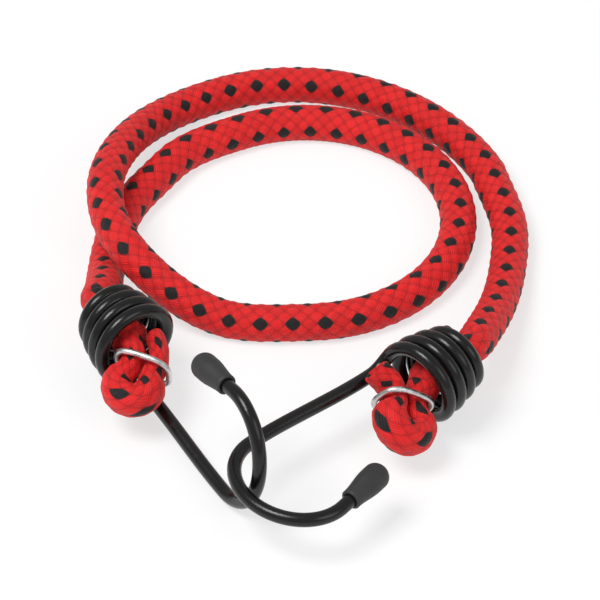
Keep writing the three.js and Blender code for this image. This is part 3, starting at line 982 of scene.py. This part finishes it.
def wire_material():
    """Black coating on steel wire: a faint orange peel, dull patches and a few rubbed places."""
    g = Graph("black_coated_wire")
    place = g.position()
    peel = g.noise(place, scale=1500)
    patch = g.noise(place, scale=140, detail=4.0)
    rub = g.noise(place, scale=260, detail=5.0, roughness=0.65)
    rubbed = g.span(rub, (0.62, 0.72), (0.0, 0.55))
    g.surface("Base Color", g.mix(rubbed, WIRE_BLACK, WIRE_RUBBED))
    g.surface("Roughness", g.span(patch, NOISE_RANGE, (0.18, 0.3)))
    g.surface("Specular IOR Level", 0.38)
    g.bump(peel, 0.02 * MM)
    return g.material


def tip_material():
    """Soft dipped vinyl, nearly matte."""
    g = Graph("dipped_vinyl")
    place = g.position()
    grain = g.noise(place, scale=2200)
    patch = g.noise(place, scale=180)
    g.surface("Base Color", g.mix(g.span(patch, NOISE_RANGE, WHOLE_RANGE), VINYL_DARK, VINYL_PALE))
    g.surface("Roughness", g.span(grain, NOISE_RANGE, (0.5, 0.66)))
    g.bump(grain, 0.06 * MM)
    return g.material


def clip_material():
    """Bright steel wire: zinc spangle and a fine grain."""
    g = Graph("bright_wire")
    place = g.position()
    spangle = g.nodes.new("ShaderNodeTexVoronoi")
    g.links.new(place, spangle.inputs["Vector"])
    spangle.inputs["Scale"].default_value = 900
    shade = g.nodes.new("ShaderNodeSeparateColor")
    g.links.new(spangle.outputs["Color"], shade.inputs[0])
    tone = shade.outputs[0]
    g.surface("Base Color", g.mix(tone, STEEL_DULL, STEEL_BRIGHT))
    g.surface("Roughness", g.span(tone, WHOLE_RANGE, (0.3, 0.46)))
    g.surface("Metallic", 1.0)
    g.bump(g.noise(place, scale=3000, detail=2.0), 0.03 * MM)
    return g.material


def rubber_material():
    """Natural latex strands dusted with talc."""
    g = Graph("latex_strand")
    dust = g.noise(g.position(), scale=1200, detail=4.0)
    g.surface("Base Color", g.mix(g.span(dust, NOISE_RANGE, WHOLE_RANGE), LATEX_DARK, LATEX_PALE))
    g.surface("Roughness", g.span(dust, NOISE_RANGE, (0.5, 0.75)))
    g.bump(dust, 0.04 * MM)
    return g.material


give([loop_piece, left_piece, right_piece], sheath_material())
give(strand_pieces, rubber_material())
give([wire for wire, cap in hooks], wire_material())
give([cap for wire, cap in hooks], tip_material())
give(clips, clip_material())


# Stage: pale floor, soft light and a camera at the photograph's angle

# Half of the floor's width, and how far it is plain white to the camera, which leaves a faint shadow
FLOOR_REACH = 4000.0
FLOOR_GLOW = 0.65


def make_floor():
    """A square floor that shows white, with a faint shadow, to the camera and in reflections."""
    corners = [Vector((x, y, 0)) * FLOOR_REACH for x, y in ((-1, -1), (1, -1), (1, 1), (-1, 1))]
    floor = new_object("floor", corners, [(0, 1, 2, 3)])
    g = Graph("pale_floor")
    g.surface("Base Color", FLOOR_PALE)
    g.surface("Roughness", 0.8)
    g.surface("Specular IOR Level", 0.1)
    ray = g.nodes.new("ShaderNodeLightPath").outputs
    mirrored = g.math("MAXIMUM", ray["Is Glossy Ray"], ray["Is Transmission Ray"])
    seen = g.math("MAXIMUM", ray["Is Camera Ray"], mirrored)
    glow = g.nodes.new("ShaderNodeEmission")
    mixed = g.nodes.new("ShaderNodeMixShader")
    g.links.new(g.math("MULTIPLY", seen, FLOOR_GLOW), mixed.inputs["Fac"])
    g.links.new(g.shader.outputs["BSDF"], mixed.inputs[1])
    g.links.new(glow.outputs["Emission"], mixed.inputs[2])
    g.links.new(mixed.outputs["Shader"], g.nodes["Material Output"].inputs["Surface"])
    give([floor], g.material)


def make_light(name, place, size, power):
    """A round area lamp aimed at the origin; its place and size are in metres, its power in watts."""
    lamp = bpy.data.lights.new(name, "AREA")
    lamp.shape = "DISK"
    lamp.size = size
    lamp.energy = power
    light = bpy.data.objects.new(name, lamp)
    light.location = place
    light.rotation_euler = (-place).to_track_quat("-Z", "Y").to_euler()
    bpy.context.collection.objects.link(light)


# The photograph's viewing angle, distance, focal length and size, the last two in its pixels
CAMERA_ELEVATION_DEG = 41
CAMERA_DISTANCE = 952.0
PHOTO_FOCAL_PIXELS = 1190.0
PHOTO_SIZE = 600

# The lens is narrowed to this square of the photograph's pixels, around the cord
CROP_CENTRE = (294.0, 315.5)
CROP_SIZE = 160.0
SENSOR_WIDTH = 36.0
CLIP_END_METRES = 20


def make_camera():
    """A camera where the photograph's stood, turned towards the middle of the square."""
    elevation = math.radians(CAMERA_ELEVATION_DEG)
    back = Vector((0, -math.cos(elevation), math.sin(elevation)))
    right = Vector((1, 0, 0))
    above = back.cross(right)
    x = (CROP_CENTRE[0] - PHOTO_SIZE / 2) / PHOTO_FOCAL_PIXELS
    y = (PHOTO_SIZE / 2 - CROP_CENTRE[1]) / PHOTO_FOCAL_PIXELS
    direction = (right * x + above * y - back).normalized()
    camera_data = bpy.data.cameras.new("camera")
    camera_data.sensor_width = SENSOR_WIDTH
    camera_data.lens = PHOTO_FOCAL_PIXELS / CROP_SIZE * SENSOR_WIDTH
    camera_data.clip_end = CLIP_END_METRES
    camera = bpy.data.objects.new("camera", camera_data)
    camera.location = (back * CAMERA_DISTANCE + CENTRING) * MM
    camera.rotation_euler = direction.to_track_quat("-Z", "Y").to_euler()
    bpy.context.collection.objects.link(camera)
    bpy.context.scene.camera = camera


WORLD_STRENGTH = 0.45

make_floor()
make_camera()
make_light("key", place=Vector((-0.5, -0.25, 1.1)), size=0.6, power=10.5)
make_light("fill", place=Vector((0.8, -0.7, 0.8)), size=0.8, power=3.0)
world = bpy.data.worlds.new("studio")
world.use_nodes = True
background = world.node_tree.nodes["Background"].inputs
background["Color"].default_value = grey(1.0)
background["Strength"].default_value = WORLD_STRENGTH
bpy.context.scene.world = world
bpy.context.scene.view_settings.view_transform = "Standard"
